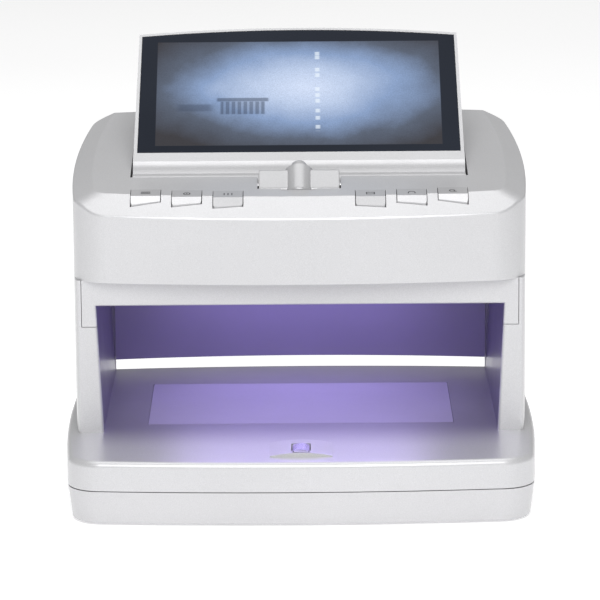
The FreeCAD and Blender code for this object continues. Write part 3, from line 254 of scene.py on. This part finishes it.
def screen_material():
    """The display's front glass: a near-black border round a lit, unevenly glowing picture."""
    nodes = Nodes("screen_front_glass")
    x, u, _ = on_screen_plane(nodes)
    middle = (LIT_LOW + LIT_HIGH) / 2
    half_up = (LIT_HIGH - LIT_LOW) / 2
    lit = nodes.math(
        "MULTIPLY",
        nodes.between(x, -LIT_HALF, LIT_HALF, 0.00025),
        nodes.between(u, LIT_LOW, LIT_HIGH, 0.00025),
    )
    # radial glow, wider than high, a little right of and above the middle
    right = nodes.math("DIVIDE", nodes.math("SUBTRACT", x, 0.004), LIT_HALF)
    up = nodes.math("DIVIDE", nodes.math("SUBTRACT", u, middle + 0.004), half_up)
    squares = [nodes.math("POWER", nodes.math("ABSOLUTE", value), 2.0) for value in (right, up)]
    away = nodes.math("SQRT", nodes.math("ADD", *squares))
    drift = nodes.math("MULTIPLY_ADD", nodes.noise(34.0, 4.0, 0.55), 0.34, -0.17)
    away = nodes.math("ADD", away, drift)
    glow = nodes.ramp(
        nodes.math("DIVIDE", away, 1.45),
        [
            (0.0, (0.64, 0.73, 0.92)),
            (0.22, (0.50, 0.60, 0.80)),
            (0.45, (0.24, 0.34, 0.55)),
            (0.68, (0.085, 0.105, 0.15)),
            (0.92, (0.030, 0.026, 0.028)),
        ],
    )
    speck = nodes.ramp(nodes.noise(1500.0, 2.0, 0.7), [(0.3, (0.86,) * 3), (0.7, (1.12,) * 3)])
    glow = nodes.mix(1.0, glow, speck, "MULTIPLY")
    # a broken bright line, as a security thread shows, right of the middle
    dashes = nodes.add("ShaderNodeTexVoronoi", feature="F1", voronoi_dimensions="1D")
    nodes.join(u, dashes.inputs["W"])
    dashes.inputs["Scale"].default_value = 150.0
    thread = nodes.math(
        "MULTIPLY",
        nodes.between(x, 0.0095, 0.0120, 0.0006),
        nodes.math("LESS_THAN", dashes.outputs["Distance"], 0.22),
    )
    thread_length = nodes.between(u, LIT_LOW + 0.012, LIT_HIGH - 0.004, 0.002)
    thread = nodes.math("MULTIPLY", thread, thread_length)
    glow = nodes.mix(nodes.math("MULTIPLY", thread, 0.6), glow, (0.85, 0.93, 1.0))
    # a generic dark block of upright bars on the left, as engraved print looks in infrared
    phase = nodes.math("FRACT", nodes.math("MULTIPLY", x, 300.0))
    bars = nodes.math("ABSOLUTE", nodes.math("SUBTRACT", phase, 0.5))
    bars = nodes.math("GREATER_THAN", bars, 0.2)
    spot = (x, u)
    print_area = inside_zone(nodes, spot, ((-0.044, -0.019, 0.0008), (0.0610, 0.0712, 0.0006)))
    print_area = nodes.math("MULTIPLY", print_area, nodes.math("MULTIPLY_ADD", bars, 0.6, 0.4))
    bands = inside_zone(nodes, spot, ((-0.046, -0.017, 0.0008), (0.0712, 0.0740, 0.0004)))
    wing = inside_zone(nodes, spot, ((-0.068, -0.049, 0.0025), (0.0635, 0.0690, 0.0010)))
    dark = nodes.math("MAXIMUM", print_area, bands)
    dark = nodes.math("MAXIMUM", dark, nodes.math("MULTIPLY", wing, 0.8))
    glow = nodes.mix(nodes.math("MULTIPLY", dark, 0.62), glow, (0.035, 0.05, 0.09))
    border_cloud = nodes.noise(14.0, 3.0)
    border = nodes.ramp(border_cloud, [(0.3, (0.008, 0.011, 0.019)), (0.7, (0.012, 0.016, 0.026))])
    nodes.surface(
        Base_Color=nodes.mix(lit, border, (0.01, 0.012, 0.016)),
        Roughness=nodes.math("MULTIPLY_ADD", nodes.noise(50.0, 4.0, 0.6), 0.06, 0.05),
        Specular_IOR_Level=0.05,
        Emission_Color=nodes.mix(lit, (0.0, 0.0, 0.0), glow),
        Emission_Strength=1.0,
    )
    return nodes.material


def opal(name, colour, glow=0.0):
    """Milky plastic lit from under: fine diffusing grain."""
    nodes = Nodes(name)
    cloud = nodes.noise(22.0, 4.0, 0.6)
    tone = nodes.ramp(cloud, [(0.3, tuple(c * 0.94 for c in colour)), (0.7, colour)])
    scratches = nodes.noise(700.0, 3.0, 0.7)
    nodes.surface(
        Base_Color=tone,
        Roughness=nodes.math("MULTIPLY_ADD", scratches, 0.15, 0.28),
        Subsurface_Weight=0.15,
        Subsurface_Radius=(0.003, 0.003, 0.003),
        Emission_Color=tone,
        Emission_Strength=glow,
        Normal=nodes.bump(scratches, 0.05, 0.0001),
    )
    return nodes.material


def glow_tube(name, colour, strength):
    nodes = Nodes(name)
    frost = nodes.noise(90.0, 3.0, 0.6)
    tone = nodes.ramp(frost, [(0.3, tuple(c * 0.85 for c in colour)), (0.7, colour)])
    nodes.surface(
        Base_Color=tone,
        Roughness=nodes.math("MULTIPLY_ADD", frost, 0.1, 0.12),
        Emission_Color=tone,
        Emission_Strength=strength,
        Normal=nodes.bump(frost, 0.03, 0.0001),
    )
    return nodes.material


def board(name):
    """A circuit board: green mask with copper tracks and tinned pads."""
    nodes = Nodes(name)
    cells = nodes.add("ShaderNodeTexVoronoi", feature="DISTANCE_TO_EDGE")
    nodes.join(nodes.position(), cells.inputs["Vector"])
    cells.inputs["Scale"].default_value = 180.0
    tracks = nodes.math("LESS_THAN", cells.outputs["Distance"], 0.08)
    tone = nodes.mix(nodes.math("MULTIPLY", tracks, 0.5), (0.012, 0.10, 0.045), (0.05, 0.26, 0.11))
    pads = nodes.add("ShaderNodeTexVoronoi", feature="F1")
    nodes.join(nodes.position(), pads.inputs["Vector"])
    pads.inputs["Scale"].default_value = 260.0
    dots = nodes.math("LESS_THAN", pads.outputs["Distance"], 0.18)
    tone = nodes.mix(dots, tone, (0.60, 0.58, 0.50))
    nodes.surface(
        Base_Color=tone,
        Metallic=nodes.math("MULTIPLY", dots, 0.8),
        Roughness=nodes.math("MULTIPLY_ADD", nodes.noise(200.0), 0.1, 0.35),
        Normal=nodes.bump(tracks, 0.2, 0.0001),
    )
    return nodes.material


# painted shade and painted violet lamp light, for shell faces inside the bay and for the deck
# under it
PAINTED_BAY_SIDE_SHADE = (0.135, 0.120, 0.190)
PAINTED_BAY_DECK_SHADE = (0.250, 0.230, 0.320)
SHELL = pearl("pearl_shell", (0.560, 0.560, 0.572), paint_bay_light=True)
TRAY = pearl("pearl_tray", (0.545, 0.543, 0.556))
KEY = pearl("pearl_key", (0.46, 0.46, 0.47), roughness=0.34, metallic=0.2)
HINGE = pearl("pearl_hinge", (0.44, 0.44, 0.45), roughness=0.32, metallic=0.2)
BEZEL = pearl("pearl_bezel", (0.45, 0.45, 0.46), roughness=0.34, metallic=0.25)
# the bay's inner plastic: a dark colour with the violet light of the bay lamps painted into it;
# the display well, of the same plastic outside the bay, stays grey
LINING_WITH_PAINTED_VIOLET_LIGHT = moulded("bay_lining_painted_violet_light", (0.20, 0.175, 0.29), roughness=0.5, grain=0.12, spread=0.03)
WELL = moulded("display_well_plastic", (0.36, 0.36, 0.365), roughness=0.5, grain=0.12, spread=0.03)
BLACK = moulded("black_plastic", (0.02, 0.02, 0.022))
RUBBER = moulded("foot_rubber", (0.022, 0.022, 0.023), roughness=0.8, grain=0.4)
INK = moulded("printed_ink", (0.045, 0.045, 0.05), roughness=0.5, grain=0.05)
CHIP = moulded("component_black", (0.018, 0.018, 0.02), roughness=0.45)
STEEL = metal("ground_steel", (0.60, 0.60, 0.61))
ZINC = metal("zinc_plated", (0.48, 0.48, 0.50), roughness=0.38)
HEAD = metal("sensor_metal", (0.62, 0.62, 0.66), roughness=0.3, stretch=(18.0, 1.0, 18.0))
ALUMINIUM = metal("bright_aluminium", (0.80, 0.80, 0.82), roughness=0.22)
PLATE = opal("opal_plate", (0.36, 0.33, 0.47), 0.0)
GUIDE = opal("light_guide", (0.8, 0.8, 0.84), 0.0)
TUBE = glow_tube("uv_tube_glass", (0.45, 0.34, 0.95), 3.0)
LED = opal("led_strip", (0.85, 0.85, 0.78), 0.2)
BOARD = board("circuit_board")
SCREEN = screen_material()
PANEL = moulded("panel_frame", (0.05, 0.055, 0.065), roughness=0.4)
FILTER = moulded("filter_glass", (0.02, 0.014, 0.035), roughness=0.08, grain=0.02)

FINISHES = {
    "shell_plastic": SHELL,
    "tray_plastic": TRAY,
    "key_plastic": KEY,
    "hinge_plastic": HINGE,
    "inner_plastic": LINING_WITH_PAINTED_VIOLET_LIGHT,
    "black_plastic": BLACK,
    "foot_rubber": RUBBER,
    "opal_plate": PLATE,
    "head_metal": HEAD,
    "screw_steel": ZINC,
    "shaft_steel": STEEL,
    "bracket_steel": ZINC,
    "board_green": BOARD,
    "component_black": CHIP,
    "tube_glass": TUBE,
    "cap_aluminium": ALUMINIUM,
    "reflector_aluminium": ALUMINIUM,
    "filter_glass": FILTER,
    "screen_glass": SCREEN,
    "panel_lit": PANEL,
    "led_strip": LED,
}
slot_of = {entry["node"]: entry["material_slot"] for entry in frame["record"]["subparts"]}
bodies = frame["record"]["behaviour"]["bodies"]
body_of = {node: body for body, nodes in bodies.items() for node in nodes}
for name, thing in frame["nodes"].items():
    finish = FINISHES[slot_of[name]]
    if name == "display_bezel":
        finish = BEZEL
    elif name == "light_guide":
        finish = GUIDE
    elif name == "display_well":
        finish = WELL
    elif name in ("rear_panel", "sensor_housing"):
        finish = SHELL
    if not thing.material_slots:
        thing.data.materials.append(finish)
    for place in thing.material_slots:
        place.material = finish


# ---- printed marks: thin raised ink on the keys and on the sensor hump -------------------------
def strokes(name, outlines, finish, body, place, slope, height=0.00006):
    """Thin raised ink: each outline is a convex polygon in the plane's own (x, v), in metres."""
    turn = Matrix.Translation(place) @ Matrix.Rotation(slope, 4, "X")
    points, faces = [], []
    for outline in outlines:
        first, count = len(points), len(outline)
        for level in (0.00001, height):
            points += [turn @ Vector((x, v, level)) for x, v in outline]
        faces.append(tuple(range(first + count - 1, first - 1, -1)))
        faces.append(tuple(range(first + count, first + 2 * count)))
        for index in range(count):
            after = (index + 1) % count
            low, high = first + index, first + after
            faces.append((low, high, high + count, low + count))
    mesh = bpy.data.meshes.new(name)
    mesh.from_pydata(points, [], faces)
    mesh.materials.append(finish)
    thing = bpy.data.objects.new(name, mesh)
    bpy.context.scene.collection.objects.link(thing)
    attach(thing, body)
    return thing


def bar(x, v, width, height):
    half_x, half_v = width / 2, height / 2
    return [
        (x - half_x, v - half_v),
        (x + half_x, v - half_v),
        (x + half_x, v + half_v),
        (x - half_x, v + half_v),
    ]


def ring(x, v, radius, width, start=0.0, turn=math.tau, parts=20):
    """An arc of ink, as short flat pieces end to end."""
    pieces = []
    for index in range(parts):
        low = start + turn * index / parts
        high = start + turn * (index + 1) / parts
        inner, outer = radius - width / 2, radius + width / 2
        pieces.append(
            [
                (x + inner * math.cos(low), v + inner * math.sin(low)),
                (x + outer * math.cos(low), v + outer * math.sin(low)),
                (x + outer * math.cos(high), v + outer * math.sin(high)),
                (x + inner * math.cos(high), v + inner * math.sin(high)),
            ]
        )
    return pieces


LINE = 0.0006
PICTOGRAMS = {
    "key_left_outer": [bar(0, v, 0.0052, LINE) for v in (0, 0.0014, -0.0014)],
    "key_left_middle": ring(0, 0, 0.0017, LINE) + [bar(0, 0, 0.0009, 0.0009)],
    "key_left_inner": [bar(x, 0, LINE, 0.0034) for x in (-0.0021, 0.0, 0.0021)],
    "key_right_inner": [bar(0, v, 0.0048, LINE) for v in (0.0014, -0.0014)]
    + [bar(x, 0, LINE, 0.0034) for x in (-0.0021, 0.0021)],
    "key_right_middle": ring(0, -0.0005, 0.0018, LINE, 0.0, math.pi)
    + [bar(x, -0.0012, LINE, 0.0014) for x in (-0.0018, 0.0018)],
    "key_right_outer": ring(-0.0004, 0.0003, 0.0014, LINE) + [bar(0.0014, -0.0012, 0.0016, LINE)],
}
MARK_V = 0.0052
for node, x, crease in KEYS:
    top_z = HOOD_TOP_Z + (crease - HOOD_TOP_Y) * math.tan(HOOD_SLOPE)
    normal = Vector((0.0, -math.sin(HOOD_SLOPE), math.cos(HOOD_SLOPE)))
    along = Vector((0.0, math.cos(HOOD_SLOPE), math.sin(HOOD_SLOPE)))
    place = Vector((x, crease, top_z)) + along * MARK_V + normal * KEY_PROUD
    strokes(f"mark_{node}", PICTOGRAMS[node], INK, body_of[node], place, HOOD_SLOPE)


HUMP_TOP = Vector((0.0, -0.0968, 0.03832))
HUMP_MARK = [bar(x, 0, LINE, 0.003) for x in (-0.0042, 0.0042)] + [bar(0, -0.0016, 0.009, LINE)]
strokes("mark_sensor", HUMP_MARK, INK, "housing", HUMP_TOP, 0.0)


# ---- floor, lights, camera -----------------------------------------------------------------
def plane(name, corners, finish):
    mesh = bpy.data.meshes.new(name)
    mesh.from_pydata(corners, [], [tuple(range(len(corners)))])
    mesh.materials.append(finish)
    thing = bpy.data.objects.new(name, mesh)
    bpy.context.scene.collection.objects.link(thing)
    return thing


floor_nodes = Nodes("studio_floor")
floor_cloud = floor_nodes.noise(1.5, 2.0)
floor_tone = floor_nodes.ramp(floor_cloud, [(0.3, (0.93, 0.93, 0.93)), (0.7, (0.95, 0.95, 0.95))])
floor_nodes.surface(
    Base_Color=floor_tone, Roughness=0.7, Emission_Color=floor_tone, Emission_Strength=0.42
)
floor = plane("floor", [(-6, -6, 0), (6, -6, 0), (6, 6, 0), (-6, 6, 0)], floor_nodes.material)

bpy.context.scene.view_settings.view_transform = "Standard"
world = bpy.data.worlds.new("studio")
bpy.context.scene.world = world
world.use_nodes = True
world.node_tree.nodes["Background"].inputs[0].default_value = (1.0, 1.0, 1.0, 1.0)
world.node_tree.nodes["Background"].inputs[1].default_value = 0.42


def area_light(name, place, target, size, power, colour=(1.0, 1.0, 1.0), size_y=None):
    data = bpy.data.lights.new(name, "AREA")
    data.energy = power
    data.color = colour
    data.size = size
    if size_y is not None:
        data.shape = "RECTANGLE"
        data.size_y = size_y
    lamp = bpy.data.objects.new(name, data)
    lamp.location = place
    lamp.rotation_euler = (Vector(target) - Vector(place)).to_track_quat("-Z", "Y").to_euler()
    bpy.context.scene.collection.objects.link(lamp)


area_light("key_light", (0.0, -1.6, 1.2), (0, 0, 0.12), 1.1, 21.0)
area_light("top_light", (0.0, 0.1, 1.8), (0, 0, 0.1), 1.4, 12.0)
for name, y, power in (("bay_lamp_front", -0.02, 0.026), ("bay_lamp_rear", 0.06, 0.060)):
    area_light(name, (0, y, 0.1015), (0, y, 0.0), 0.15, power, (0.72, 0.65, 1.0), 0.012)

camera_data = bpy.data.cameras.new("camera")
camera_data.sensor_width = 36.0
camera_data.lens = 228.3
camera = bpy.data.objects.new("camera", camera_data)
camera.location = (0.0, -2.0805, 0.5635)
tilt = Matrix.Rotation(math.radians(77.45), 3, "X")
roll = Matrix.Rotation(math.radians(-0.42), 3, "Z")
camera.rotation_euler = (tilt @ roll).to_euler()
bpy.context.scene.collection.objects.link(camera)
bpy.context.scene.camera = camera

bpy.context.view_layer.update()
